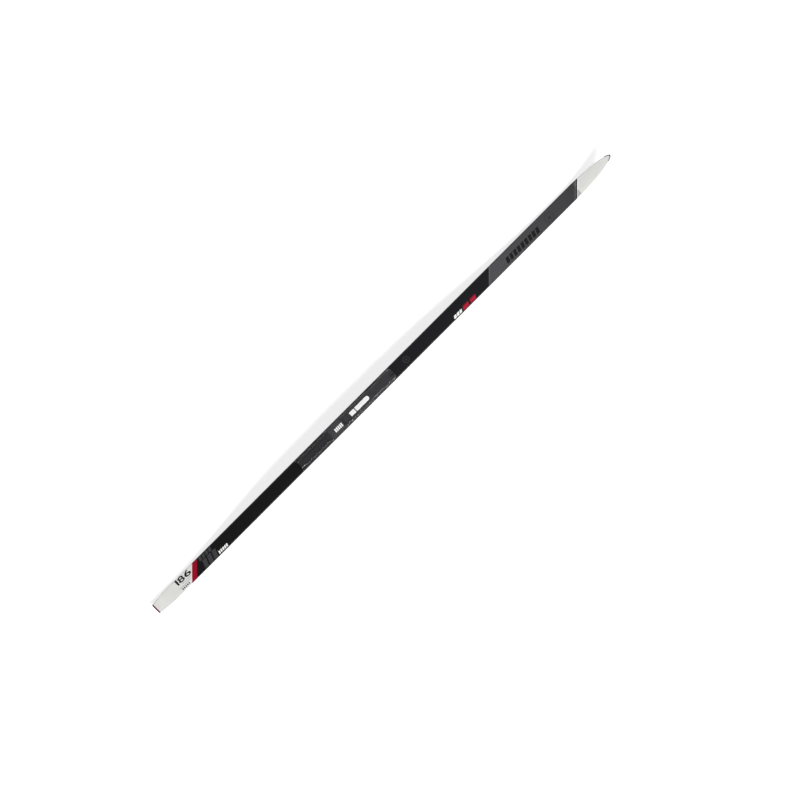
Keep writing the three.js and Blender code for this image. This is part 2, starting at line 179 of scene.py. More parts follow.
def arch(x, start, stop):
    """Rises from 0 at start to 1 over the crown, and falls again to 0 at stop."""
    if x < CROWN_X[0]:
        return smooth((x - start) / (CROWN_X[0] - start))
    return smooth((stop - x) / (stop - CROWN_X[1]))


def half_width(x):
    """Half the width of the layers, which end inside the rim round the nose."""
    from_end = x - TAIL_X
    if from_end < TAIL_TAPER:
        widening = 1 - (1 - from_end / TAIL_TAPER) ** TAIL_TAPER_POWER
        return mix((TAIL_END_WIDTH, WIDTH), widening) / 2
    along = (x - NOSE_START) / (NOSE_LENGTH - NOSE_INSIDE)
    if along <= 0:
        return WIDTH / 2
    return WIDTH / 2 * max(0.0, 1 - along**NOSE_POWER_X) ** (1 / NOSE_POWER_Y)


def base_height(x):
    tip = clamp01((x - FRONT_CONTACT_X[1]) / (TIP_X - FRONT_CONTACT_X[1]))
    tail = clamp01((REAR_CONTACT_X[0] - x) / (REAR_CONTACT_X[0] - TAIL_X))
    camber = CAMBER * arch(x, REAR_CONTACT_X[1], FRONT_CONTACT_X[0])
    return camber + TIP_RISE * tip**TIP_RISE_POWER + TAIL_RISE * tail**2


def fullness(x):
    """0 at the thin ends of the ski and 1 over the crown."""
    return arch(x, *SWELL_X)


def thickness(x):
    return mix((TAIL_THICKNESS if x < 0 else TIP_THICKNESS, DECK_THICKNESS), fullness(x))


def deck_height(x):
    return base_height(x) + thickness(x)


class Station:
    """What one cross section of the ski needs to know."""

    def __init__(self, x):
        full = fullness(x)
        self.x = x
        self.half = half_width(x)
        self.narrow = min(1.0, self.half / SLIM_HALF_WIDTH)
        self.bottom = base_height(x)
        self.deck = thickness(x)
        self.strip = BASE_THICKNESS + CLEARANCE + mix(STRIP_HEIGHT, full)
        self.inset = mix(SIDE_INSET, full) * self.narrow
        self.radius = mix(SHOULDER_RADIUS, full) * self.narrow


def stations(start, stop):
    """Even steps along the ski, closing up where the nose rounds in."""
    count = math.ceil((NOSE_START - start) / STATION_STEP)
    marks = [mix((start, NOSE_START), i / count) for i in range(count)]
    for step in range(NOSE_STEPS + 1):
        angle = math.pi / 2 * (1 - step / NOSE_STEPS)
        along = max(0.0, math.cos(angle)) ** (2 / NOSE_POWER_X)
        marks.append(NOSE_START + (NOSE_LENGTH - NOSE_INSIDE) * along)
    kept = [x for x in marks if x < stop - SHORTEST_STEP]
    return [Station(x) for x in kept + [stop]]


# ---- mesh building -----------------------------------------------------------------------------


def finished(name, bm, sharp=32):
    """Turns a bmesh into a linked object: faces outwards, smooth except across sharp edges."""
    bmesh.ops.recalc_face_normals(bm, faces=bm.faces)
    for edge in bm.edges:
        edge.smooth = edge.calc_face_angle(math.pi) < math.radians(sharp)
    for face in bm.faces:
        face.smooth = True
    mesh = bpy.data.meshes.new(name)
    bm.to_mesh(mesh)
    bm.free()
    obj = bpy.data.objects.new(name, mesh)
    bpy.context.scene.collection.objects.link(obj)
    return obj


def extruded(bm, geom):
    """Extrudes part of a mesh, and returns the new vertices and the new faces."""
    made = bmesh.ops.extrude_face_region(bm, geom=geom)["geom"]
    verts = [item for item in made if isinstance(item, bmesh.types.BMVert)]
    return verts, [item for item in made if isinstance(item, bmesh.types.BMFace)]


def skin(name, rings, walls=None, sharp=32):
    """A closed solid through equal rings of points: the first ring's face, extruded on and on.

    walls gives each point of a ring its value in the "wall" attribute, 1 on a side wall and 0 on
    the deck, for the cap's material to tell them apart: print and painted shade on the walls,
    gloss on the deck.
    """
    bm = bmesh.new()
    order = bm.verts.layers.int.new("order")
    wall = bm.verts.layers.float.new("wall")
    corners = []
    for index, point in enumerate(rings[0]):
        corner = bm.verts.new(Vector(point) * MM)
        corner[order] = index
        corner[wall] = walls[index] if walls else 0.0
        corners.append(corner)
    end = bm.faces.new(corners)
    for ring in rings[1:]:
        # The edges go in too: without them the face left behind would stay as an inner wall.
        verts, faces = extruded(bm, [end, *end.edges, *end.verts])
        for vert in verts:
            vert.co = Vector(ring[vert[order]]) * MM
        end = faces[0]
    bm.verts.layers.int.remove(order)
    return finished(name, bm, sharp)


def prism(bm, outline, low, high):
    """Adds a plan outline extruded from low to high, all in millimetres."""
    corners = [bm.verts.new(Vector((x, y, low)) * MM) for x, y in outline]
    face = bm.faces.new(corners)
    for vert in extruded(bm, [face])[0]:
        vert.co.z = high * MM


def rounded_box(x0, x1, y0, y1, radius, steps=6):
    """Plan outline of a rectangle with round corners."""
    outline = []
    middles = ((x1 - radius, y1 - radius), (x0 + radius, y1 - radius),
               (x0 + radius, y0 + radius), (x1 - radius, y0 + radius))
    for quarter, (cx, cy) in enumerate(middles):
        for step in range(steps + 1):
            angle = math.pi / 2 * (quarter + step / steps)
            outline.append((cx + radius * math.cos(angle), cy + radius * math.sin(angle)))
    return outline


def slanted_bar(start, stop, low, high, slant):
    """Plan outline of a bar whose ends lean forward by slant per unit of width."""
    lean = slant * (high - low)
    return [(start, low), (stop, low), (stop + lean, high), (start + lean, high)]


def moulded_copy(name, node, cutters, rims):
    """The CAD node's shape with more cuts and rounded edges.

    rims lists height, radius and least distance from the centre line of edges to round.
    """
    bm = bmesh.new()
    bm.from_mesh(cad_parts[node].data)
    bmesh.ops.remove_doubles(bm, verts=bm.verts, dist=WELD * MM)
    flat = math.radians(0.5)
    bmesh.ops.dissolve_limit(bm, angle_limit=flat, verts=bm.verts, edges=bm.edges)
    obj = finished(name, bm)
    if cutters:
        tools = bmesh.new()
        for outline, low, high in cutters:
            prism(tools, outline, low, high)
        tool = finished(name + "_cutter", tools)
        cut = obj.modifiers.new("cut", "BOOLEAN")
        cut.operation = "DIFFERENCE"
        cut.solver = "EXACT"
        cut.object = tool
        shaped = bpy.data.meshes.new_from_object(
            obj.evaluated_get(bpy.context.evaluated_depsgraph_get()))
        bpy.data.objects.remove(tool)
    else:
        shaped = obj.data.copy()
    bpy.data.objects.remove(obj)
    bm = bmesh.new()
    bm.from_mesh(shaped)
    bmesh.ops.remove_doubles(bm, verts=bm.verts, dist=WELD * MM)
    for level, size, least_y in rims:
        edges = [
            edge for edge in bm.edges
            if all(abs(vert.co.z - level * MM) < 2 * WELD * MM
                   and abs(vert.co.y) > least_y * MM for vert in edge.verts)
            and edge.calc_face_angle(0) > math.radians(45)
        ]
        bmesh.ops.bevel(bm, geom=edges, offset=size * MM, offset_type="OFFSET", segments=4,
                        profile=0.5, affect="EDGES", clamp_overlap=False, material=-1)
    bpy.data.meshes.remove(shaped)
    return finished(name, bm, 40)


def film(bm):
    """Gives flat ink its thickness."""
    for vert in extruded(bm, bm.faces[:])[0]:
        vert.co.z = INK_THICKNESS * MM


def lay(bm, height):
    """Lays ink on a surface and sinks it in a little. height(x) is the surface's height."""
    for vert in bm.verts:
        vert.co.z += (height(vert.co.x / MM) - INK_SUNK) * MM


def inked(name, outlines, height):
    """Thin closed patches of ink lying on a surface."""
    bm = bmesh.new()
    for outline in outlines:
        prism(bm, outline, 0, INK_THICKNESS)
    lay(bm, height)
    return finished(name, bm)


def ring_mark(name, centre, radius, band, height):
    """A plain printed ring round a dot."""
    bm = bmesh.new()
    bmesh.ops.create_circle(bm, cap_ends=True, radius=radius * MM, segments=64)
    inner = bm.faces[:]
    bmesh.ops.inset_region(bm, faces=inner, thickness=band * MM, use_even_offset=True,
                           use_boundary=True)
    bmesh.ops.delete(bm, geom=inner, context="FACES_ONLY")
    bmesh.ops.create_circle(bm, cap_ends=True, radius=radius / 3 * MM, segments=40)
    film(bm)
    bmesh.ops.translate(bm, verts=bm.verts,
                        vec=Vector((from_tail(centre[0]), centre[1], 0)) * MM)
    lay(bm, height)
    return finished(name, bm)


def length_digits(name, digits, rise, bold, height):
    """Plain digits, each stretched to its own span along the ski and to rise across it."""
    bm = bmesh.new()
    for digit, span in digits:
        curve = bpy.data.curves.new(name, "FONT")
        curve.body = digit
        curve.offset = bold
        curve.resolution_u = 6
        letter = bpy.data.objects.new(name + "_text", curve)
        bpy.context.scene.collection.objects.link(letter)
        mesh = bpy.data.meshes.new_from_object(
            letter.evaluated_get(bpy.context.evaluated_depsgraph_get()))
        bpy.data.objects.remove(letter)
        before = set(bm.verts)
        bm.from_mesh(mesh)
        bpy.data.meshes.remove(mesh)
        verts = [vert for vert in bm.verts if vert not in before]
        xs = [vert.co.x for vert in verts]
        ys = [vert.co.y for vert in verts]
        left, width, low, tall = min(xs), max(xs) - min(xs), min(ys), max(ys) - min(ys)
        for vert in verts:
            vert.co = Vector((from_tail(mix(span, (vert.co.x - left) / width)),
                              mix(rise, (vert.co.y - low) / tall), 0)) * MM
    bmesh.ops.remove_doubles(bm, verts=bm.verts, dist=2 * WELD * MM)
    film(bm)
    lay(bm, height)
    return finished(name, bm)


# ---- materials ---------------------------------------------------------------------------------


def srgb(text):
    """Linear colour of an sRGB hex value such as "#9e1230"."""
    channels = [int(text[i : i + 2], 16) / 255 for i in (1, 3, 5)]
    linear = [c / 12.92 if c <= 0.04045 else ((c + 0.055) / 1.055) ** 2.4 for c in channels]
    return (*linear, 1.0)


def add(tree, kind, ins=None, **settings):
    """Adds a shader node. ins maps an input to a value or to the output that feeds it."""
    made = tree.nodes.new(kind)
    for key, value in settings.items():
        setattr(made, key, value)
    for key, value in (ins or {}).items():
        if isinstance(value, bpy.types.NodeSocket):
            tree.links.new(value, made.inputs[key])
        else:
            made.inputs[key].default_value = value
    return made


def blank(name):
    """An empty material: its node tree and the object coordinates, in metres."""
    material = bpy.data.materials.new(name)
    material.use_nodes = True
    tree = material.node_tree
    tree.nodes.clear()
    return material, tree, add(tree, "ShaderNodeTexCoord").outputs["Object"]


def surface(tree, colour, roughness, normal, **others):
    """Ends a material in one Principled shader."""
    ins = {"Base Color": colour, "Roughness": roughness, "Normal": normal}
    ins.update((socket.replace("_", " "), value) for socket, value in others.items())
    shader = add(tree, "ShaderNodeBsdfPrincipled", ins)
    add(tree, "ShaderNodeOutputMaterial", {"Surface": shader.outputs[0]})


def grain(tree, place, size_mm, height_mm, stretch=(1, 1, 1), detail=2.0, under=None):
    """Bump of a fine random grain. stretch scales the pattern's frequency along each axis."""
    spread = add(tree, "ShaderNodeMapping", {"Vector": place, "Scale": stretch})
    noise = add(tree, "ShaderNodeTexNoise",
                {"Vector": spread.outputs[0], "Scale": 1 / (size_mm * MM), "Detail": detail})
    ins = {"Height": noise.outputs[0], "Distance": height_mm * MM, "Strength": 1.0}
    if under:
        ins["Normal"] = under
    return add(tree, "ShaderNodeBump", ins).outputs[0], noise.outputs[0]


def tinted(tree, place, colour, size_mm, amount, stretch=(1, 1, 1)):
    """The colour, drifting darker and lighter by the given share over patches of size_mm."""
    spread = add(tree, "ShaderNodeMapping", {"Vector": place, "Scale": stretch})
    noise = add(tree, "ShaderNodeTexNoise", {"Vector": spread.outputs[0],
                                             "Scale": 1 / (size_mm * MM), "Detail": 3.0})
    drift = add(tree, "ShaderNodeMapRange",
                {0: noise.outputs[0], 1: 0.3, 2: 0.7, 3: 1 - amount, 4: 1 + amount})
    shade = add(tree, "ShaderNodeHueSaturation", {"Color": colour, "Value": drift.outputs[0]})
    return shade.outputs[0]


# Colour breaks of the printed top sheet: place from the tail on the centre line, how far the
# break leans forward per unit of width, and the colour that starts there. The fourth break
# lies under the binding plate.
PALE, RED, BLACK, GRAPHITE = "#cfcfcc", "#8e0720", "#131314", "#4a4a4c"
PRINT_BREAKS = (
    (148.6, 0.98, RED),
    (167.8, 0.98, "#4a0612"),
    (170.4, 0.98, BLACK),
    (800.0, 1.0, "#1b1b1e"),
    (1364.8, 0.98, "#555557"),
    (1369.8, 0.98, GRAPHITE),
    (1716.0, 1.03, "#5e5e60"),
    (1724.0, 1.03, "#17171a"),
    (1727.6, 1.03, "#f2f2f0"),
    (1730.6, 1.03, PALE),
)
BREAK_SOFTNESS = 0.15
GRAPHITE_SPAN = (1340, 1726)
GRAPHITE_FADE = ((1368, 1.04), (1722, 0.62))


def printed_cap():
    """Polyamide top sheet, printed from behind and lacquered: deep even colour under a clear
    gloss, with fine hairlines along the ski from use."""
    material, tree, place = blank("Printed polyamide, glossy")
    colour = srgb(PALE)
    starts = []
    for at, lean, over in PRINT_BREAKS:
        skewed = add(tree, "ShaderNodeVectorMath", {0: place, 1: (1, -lean, 0)},
                     operation="DOT_PRODUCT")
        edge = from_tail(at) * MM
        started = add(tree, "ShaderNodeMapRange",
                      {0: skewed.outputs["Value"], 1: edge - BREAK_SOFTNESS * MM,
                       2: edge + BREAK_SOFTNESS * MM})
        layer = add(tree, "ShaderNodeMix", {0: started.outputs[0], 6: colour, 7: srgb(over)},
                    data_type="RGBA")
        colour = layer.outputs[2]
        starts.append(started.outputs[0])
    # The graphite field darkens towards the tip.
    along = add(tree, "ShaderNodeSeparateXYZ", {0: place})
    (bright_at, bright), (dark_at, dark) = GRAPHITE_FADE
    fade = add(tree, "ShaderNodeMapRange",
               {0: along.outputs[0], 1: from_tail(bright_at) * MM, 2: from_tail(dark_at) * MM,
                3: bright, 4: dark})
    inside = [add(tree, "ShaderNodeMath", {0: along.outputs[0], 1: from_tail(at) * MM},
                  operation=how)
              for at, how in zip(GRAPHITE_SPAN, ("GREATER_THAN", "LESS_THAN"))]
    within = add(tree, "ShaderNodeMath", {0: inside[0].outputs[0], 1: inside[1].outputs[0]},
                 operation="MULTIPLY")
    factor = add(tree, "ShaderNodeMix", {0: within.outputs[0], 2: 1.0, 3: fade.outputs[0]})
    colour = add(tree, "ShaderNodeHueSaturation",
                 {"Color": colour, "Value": factor.outputs[0]}).outputs[0]
    # The cap's side walls: printed near black beside the dark fields; beside the pale ones a
    # greyer pale than the deck, which is painted shade on the wall.
    dark_side = add(tree, "ShaderNodeMath", {0: starts[0], 1: starts[-2]},
                    operation="SUBTRACT")
    side = add(tree, "ShaderNodeMix", {0: dark_side.outputs[0], 6: srgb("#b4b4b1"),
                                       7: srgb("#0c0c0d")}, data_type="RGBA")
    wall = add(tree, "ShaderNodeAttribute", attribute_name="wall")
    colour = add(tree, "ShaderNodeMix", {0: wall.outputs["Fac"], 6: colour, 7: side.outputs[2]},
                 data_type="RGBA").outputs[2]
    colour = tinted(tree, place, colour, 40, 0.04)
    peel, _ = grain(tree, place, 0.9, 0.006)
    lined, hairlines = grain(tree, place, 0.8, 0.003, (0.02, 1, 1), 4.0, peel)
    deck_gloss = add(tree, "ShaderNodeMapRange",
                     {0: hairlines, 1: 0.35, 2: 0.75, 3: 0.2, 4: 0.27})
    rough = add(tree, "ShaderNodeMix", {0: wall.outputs["Fac"], 2: deck_gloss.outputs[0], 3: 0.65})
    shine = add(tree, "ShaderNodeMapRange", {0: wall.outputs["Fac"], 3: 0.5, 4: 0.12})
    surface(tree, colour, rough.outputs[0], lined, IOR=1.5, Specular_IOR_Level=shine.outputs[0])
    return material


def print_ink(name, colour, roughness=0.4):
    """Screen ink: a thin even film, a little matter than the lacquer round it."""
    material, tree, place = blank(name)
    normal, _ = grain(tree, place, 0.5, 0.008)
    shade = tinted(tree, place, colour, 6, 0.05)
    surface(tree, shade, roughness, normal, IOR=1.48)
    return material


def fading_ink(name, colour, faded):
    """Screen ink in a raster that thins out from the deck's right edge inwards."""
    material, tree, place = blank(name)
    across = add(tree, "ShaderNodeSeparateXYZ", {0: place})
    thin = add(tree, "ShaderNodeMapRange", {0: across.outputs[1], 1: -11 * MM, 2: -6 * MM})
    shade = add(tree, "ShaderNodeMix", {0: thin.outputs[0], 6: colour, 7: faded},
                data_type="RGBA")
    normal, _ = grain(tree, place, 0.5, 0.008)
    surface(tree, shade.outputs[2], 0.4, normal, IOR=1.48)
    return material


def wave_scale(pitch_mm):
    """Scale at which the wave texture repeats every pitch_mm. At scale 1 it is pi / 10 m."""
    return math.pi / 10 / (pitch_mm * MM)


def sintered_base():
    """Sintered black polyethylene: waxy and dark, with two crossed sets of fine ground lines,
    1 mm apart. Their pitch is a choice, because this side of the ski isn't seen."""
    material, tree, place = blank("Sintered polyethylene, stone ground")
    normal = None
    for turn in (-0.16, 0.16):
        spin = add(tree, "ShaderNodeMapping", {"Vector": place, "Rotation": (0, 0, turn)})
        lines = add(tree, "ShaderNodeTexWave",
                    {"Vector": spin.outputs[0], "Scale": wave_scale(1), "Distortion": 0.6,
                     "Detail": 2.0},
                    bands_direction="Y")
        ins = {"Height": lines.outputs["Fac"], "Distance": 0.02 * MM}
        if normal:
            ins["Normal"] = normal
        normal = add(tree, "ShaderNodeBump", ins).outputs[0]
    shade = tinted(tree, place, srgb("#1a1a1c"), 25, 0.12, (0.2, 1, 1))
    surface(tree, shade, 0.42, normal, IOR=1.51)
    return material


def plastic(name, colour, roughness, grain_mm, grain_height, drift_mm=18, drift=0.06,
            stretch=(1, 1, 1), **others):
    """Moulded or milled plastic: an even colour with the texture that its tool left."""
    material, tree, place = blank(name)
    normal, worn = grain(tree, place, grain_mm, grain_height, stretch, 3.0)
    shade = tinted(tree, place, colour, drift_mm, drift, stretch)
    rough = add(tree, "ShaderNodeMapRange",
                {0: worn, 1: 0.3, 2: 0.7, 3: roughness - 0.05, 4: roughness + 0.07})
    surface(tree, shade, rough.outputs[0], normal, **others)
    return material


def woven_glass():
    """Glass cloth in epoxy: a plain weave, 1.2 mm between threads, amber and half clear."""
    material, tree, place = blank("Glass cloth in epoxy")
    height = None
    for direction in ("X", "Y"):
        threads = add(tree, "ShaderNodeTexWave",
                      {"Vector": place, "Scale": wave_scale(1.2)}, bands_direction=direction)
        if height:
            height = add(tree, "ShaderNodeMath", {0: height, 1: threads.outputs["Fac"]},
                         operation="MULTIPLY").outputs[0]
        else:
            height = threads.outputs["Fac"]
    weave = add(tree, "ShaderNodeMix", {0: height, 6: srgb("#a79f74"), 7: srgb("#d0cba6")},
                data_type="RGBA")
    bump = add(tree, "ShaderNodeBump", {"Height": height, "Distance": 0.08 * MM})
    surface(tree, weave.outputs[2], 0.28, bump.outputs[0], IOR=1.53)
    return material


def light_wood():
    """Paulownia: pale straight grain along the ski, rings 4 mm apart, dull when planed."""
    material, tree, place = blank("Paulownia, planed")
    spread = add(tree, "ShaderNodeMapping", {"Vector": place, "Scale": (0.04, 1, 1)})
    rings = add(tree, "ShaderNodeTexWave",
                {"Vector": spread.outputs[0], "Scale": wave_scale(4), "Distortion": 3.0,
                 "Detail": 3.0, "Detail Scale": 1.5}, bands_direction="Y")
    wood = add(tree, "ShaderNodeMix", {0: rings.outputs["Fac"], 6: srgb("#cdb083"),
                                       7: srgb("#e0cba3")}, data_type="RGBA")
    normal, _ = grain(tree, place, 0.6, 0.03, (0.03, 1, 1), 3.0)
    surface(tree, wood.outputs[2], 0.66, normal, IOR=1.45)
    return material


def opal_acrylic():
    """Matt white opal acrylic, lit softly from below so that shadows on it stay faint."""
    material, tree, place = blank("Opal acrylic floor, matt")
    normal, _ = grain(tree, place, 30, 0.02)
    surface(tree, srgb("#c6c6c6"), 0.9, normal, Specular_IOR_Level=0.1,
            Emission_Color=(1, 1, 1, 1), Emission_Strength=0.6)
    return material


# ---- sizes and colours that a user would change ------------------------------------------------


class SkiSettings(bpy.types.PropertyGroup):
    """Finish of the ski."""

    edge_radius: FloatProperty(
        name="Plate edge radius", description="Rounding of the binding plate's moulded edges",
        default=0.35 * MM, min=0.05 * MM, max=0.6 * MM, unit="LENGTH")
    lip_radius: FloatProperty(
        name="Lip radius", description="Rounding along the outer edge of the plates' lips",
        default=1.7 * MM, min=0.3 * MM, max=2 * MM, unit="LENGTH")
    plate_colour: FloatVectorProperty(
        name="Plate", description="Colour of the front binding plate",
        size=4, subtype="COLOR", min=0, max=1, default=srgb("#343436"))
    tail_colour: FloatVectorProperty(
        name="Tail protector", description="Colour of the strip across the tail",
        size=4, subtype="COLOR", min=0, max=1, default=srgb("#5c0e22"))


class StudioSettings(bpy.types.PropertyGroup):
    """Camera, floor and light."""

    camera_height: FloatProperty(
        name="Camera height", description="Height of the camera over the floor",
        default=12.894, min=1, unit="LENGTH")
    lens: FloatProperty(
        name="Lens", description="Focal length of the camera in millimetres",
        default=200, min=20)
    floor_size: FloatProperty(
        name="Floor size", description="Side of the square floor",
        default=80, min=5, unit="LENGTH")
    key_strength: FloatProperty(
        name="Key light", description="Strength of the light from the ski's right side",
        default=3.1, min=0)
    fill_strength: FloatProperty(
        name="Fill light", description="Strength of the light from the ski's left side",
        default=1.0, min=0)


def settle(obj, material, slot, *nodes):
    """Gives a piece its material and body, and hides the CAD nodes it stands for. The slot is not
    used.
    """
    obj.data.materials.clear()
    obj.data.materials.append(material)
    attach(obj, "root")
    if nodes:
        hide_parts(*nodes)


# ---- operators ---------------------------------------------------------------------------------

FLOOR_DROP = 0.3 * MM
CAMERA_PLACE = (-0.00025, -0.0713)
CAMERA_TURN = math.radians(-45)
SUN_TILT = math.radians(48)
SUN_SPREAD = math.radians(20)
SKY_LOW, SKY_HIGH = (0.25, 1.05), (0.75, 0.05)


class SKI_OT_stage(bpy.types.Operator):
    """Make the floor, the light and the camera"""

    bl_idname = "ski.stage"
    bl_label = "Stage"

    def execute(self, context):
        studio = context.scene.ski_studio
        bm = bmesh.new()
        bmesh.ops.create_grid(bm, x_segments=8, y_segments=8, size=studio.floor_size / 2)
        floor = finished("studio_floor", bm)
        for vert in floor.data.vertices:
            vert.co.z = -FLOOR_DROP
        floor.data.materials.append(opal_acrylic())

        camera = bpy.data.cameras.new("studio_camera")
        camera.lens = studio.lens
        camera.sensor_width = 36
        camera.clip_end = 200
        view = bpy.data.objects.new("studio_camera", camera)
        view.location = (*CAMERA_PLACE, studio.camera_height)
        view.rotation_euler = (0, 0, CAMERA_TURN)
        context.scene.collection.objects.link(view)
        context.scene.camera = view
        context.scene.view_settings.view_transform = "Standard"

        suns = (("key", studio.key_strength, SUN_TILT), ("fill", studio.fill_strength, -SUN_TILT))
        for name, strength, tilt in suns:
            lamp = bpy.data.lights.new("studio_" + name, "SUN")
            lamp.energy = strength
            lamp.angle = SUN_SPREAD
            sun = bpy.data.objects.new("studio_" + name, lamp)
            sun.rotation_euler = (tilt, 0, 0)
            context.scene.collection.objects.link(sun)

        world = bpy.data.worlds.new("studio_world")
        world.use_nodes = True
        tree = world.node_tree
        tree.nodes.clear()
        look = add(tree, "ShaderNodeTexCoord")
        parts = add(tree, "ShaderNodeSeparateXYZ", {0: look.outputs["Generated"]})
        # Bright towards the horizon and dark overhead, so that the deck mirrors little.
        height = add(tree, "ShaderNodeMapRange",
                     {0: parts.outputs[2], 1: SKY_LOW[0], 2: SKY_HIGH[0],
                      3: SKY_LOW[1], 4: SKY_HIGH[1]})
        sky = add(tree, "ShaderNodeBackground",
                  {"Color": (1, 1, 1, 1), "Strength": height.outputs[0]})
        add(tree, "ShaderNodeOutputWorld", {0: sky.outputs[0]})
        context.scene.world = world
        return {"FINISHED"}


class SKI_OT_cap(bpy.types.Operator):
    """Make the printed cap with its rounded shoulders"""

    bl_idname = "ski.cap"
    bl_label = "Cap"

    def shoulder(self, s, offset):
        """Left half of the cap's line, from its lower rim up to the deck, set in by offset."""
        inward = offset * s.narrow
        half = s.half - inward
        top = s.deck - offset
        rim = s.strip + CLEARANCE
        radius = max(SHOULDER_LEAST * s.narrow, s.radius - offset / 2)
        edge = half - s.inset
        lean = s.inset * (radius / (s.deck - rim))
        line = [(half, rim), (half - 0.5 * (s.inset - lean), mix((rim, top - radius), 0.5))]
        for step in range(SHOULDER_STEPS + 1):
            angle = math.pi / 2 * step / SHOULDER_STEPS
            line.append((edge - radius + (radius + lean) * math.cos(angle),
                         top - radius + radius * math.sin(angle)))
        return line

    def execute(self, context):
        rings = []
        for s in stations(LAYERS_FROM, CAP_TO):
            outside = self.shoulder(s, 0)
            inside = self.shoulder(s, SKIN_THICKNESS)
            line = outside + [(-y, z) for y, z in reversed(outside)]
            line += [(-y, z) for y, z in inside] + list(reversed(inside))
            rings.append([(s.x, y, s.bottom + z) for y, z in line])
        # The shoulder is as dull as the wall almost up to the deck, and takes the wall's colour
        # that far: print beside the dark fields, painted shade beside the pale ones.
        arc = [min(1, 16 * (1 - math.sin(math.pi / 2 * i / SHOULDER_STEPS)))
               for i in range(SHOULDER_STEPS + 1)]
        half = [1.0, 1.0] + arc
        walls = half + half[::-1] + [1.0] * (2 * len(half))
        settle(skin("printed_cap", rings, walls), printed_cap(), "printed_top_sheet",
               "top_sheet")
        return {"FINISHED"}


class SKI_OT_running_surface(bpy.types.Operator):
    """Make the grooved running base and the strips along its edges"""

    bl_idname = "ski.running_surface"
    bl_label = "Running surface"

    def execute(self, context):
        rings = []
        groove_steps = 8
        for s in stations(LAYERS_FROM, LAYERS_TO):
            g = min(GROOVE_WIDTH / 2, s.half / 3)
            depth = GROOVE_DEPTH * s.narrow**2
            ease = 0.25 * s.narrow
            line = [(g * math.cos(math.pi * (1 - i / groove_steps)),
                     depth * math.sin(math.pi * i / groove_steps))
                    for i in range(groove_steps + 1)]
            line += [(s.half - ease, 0), (s.half, ease), (s.half, BASE_THICKNESS),
                     (-s.half, BASE_THICKNESS), (-s.half, ease), (ease - s.half, 0)]
            rings.append([(s.x, y, s.bottom + z) for y, z in line])
        settle(skin("base_sheet", rings), sintered_base(), "sintered_base", "running_base")

        # Milled along the ski: dull black, with its texture drawn out lengthwise.
        abs_black = plastic("ABS, milled", srgb("#161617"), 0.45, 0.5, 0.02, stretch=(0.05, 1, 1))
        for name, side in (("left_edge_strip", 1), ("right_edge_strip", -1)):
            rings = []
            for s in stations(LAYERS_FROM, WALLS_TO):
                low = BASE_THICKNESS + CLEARANCE
                ease = 0.2 * s.narrow
                outer, inner = s.half, s.half - STRIP_WIDTH * s.narrow
                line = [(inner, low), (outer - ease, low), (outer, low + ease),
                        (outer, s.strip - ease), (outer - ease, s.strip), (inner, s.strip)]
                rings.append([(s.x, side * y, s.bottom + z) for y, z in line])
            settle(skin(name + "_finished", rings), abs_black, "edge_strip", name)
        return {"FINISHED"}


class SKI_OT_end_protectors(bpy.types.Operator):
    """Make the rim round the nose and the strip across the tail"""

    bl_idname = "ski.end_protectors"
    bl_label = "End protectors"

    def nose(self):
        rings = []
        steps = 60
        corner = 0.5
        bulge = 0.3
        for i in range(steps + 1):
            angle = NOSE_RIM_ANGLE * (2 * i / steps - 1)
            line = []
            for length in (NOSE_LENGTH - NOSE_RIM, NOSE_LENGTH):
                x = NOSE_START + length * math.cos(angle) ** (2 / NOSE_POWER_X)
                y = WIDTH / 2 * abs(math.sin(angle)) ** (2 / NOSE_POWER_Y)
                line.append((x, math.copysign(y, angle)))
            (ix, iy), (ox, oy) = line
            low, high = base_height(ox), base_height(ox) + thickness(ox)
            width = math.hypot(ox - ix, oy - iy)
            ease = min(corner, width / 3)
            share = ease / width
            mx, my = mix((ox, ix), share), mix((oy, iy), share)
            rings.append([(ix, iy, low), (ix, iy, high), (mx, my, high),
                          (mix((ox, mx), bulge), mix((oy, my), bulge), high - bulge * ease),
                          (ox, oy, high - ease), (ox, oy, low + ease),
                          (mix((ox, mx), bulge), mix((oy, my), bulge), low + bulge * ease),
                          (mx, my, low)])
        return skin("nose_rim", rings, sharp=50)

    def tail(self):
        rings = []
        steps = 6
        corner = 0.9
        for i in range(steps + 1):
            forward = math.sin(math.pi / 2 * i / steps)
            narrower = TAIL_ROUND * (1 - math.sqrt(max(0.0, 1 - (1 - forward) ** 2)))
            s = Station(TAIL_X + TAIL_ROUND * forward)
            half = s.half - narrower
            low, high = narrower / 2, s.deck - narrower / 2
            line = rounded_box(-half, half, low, high, min(corner, (high - low) / 3), 4)
            rings.append([(s.x, y, s.bottom + z) for y, z in line])
        end = Station(TAIL_X + TAIL_CAP_LENGTH)
        line = rounded_box(-end.half, end.half, 0, end.deck, corner, 4)
        rings.append([(end.x, y, end.bottom + z) for y, z in line])
        return skin("tail_strip", rings, sharp=40)

    def execute(self, context):
        finish = context.scene.ski_finish
        # Soft moulded plastic: satin, without a hard highlight.
        rim = plastic("Polyurethane, moulded grey", srgb("#2e2e30"), 0.5, 0.6, 0.02, IOR=1.5)
        settle(self.nose(), rim, "tip_rim", "tip_protector")
        strip = plastic("Polyurethane, moulded dark red", finish.tail_colour[:],
                        0.42, 0.6, 0.02, IOR=1.5)
        settle(self.tail(), strip, "tail_rim", "tail_protector")
        return {"FINISHED"}


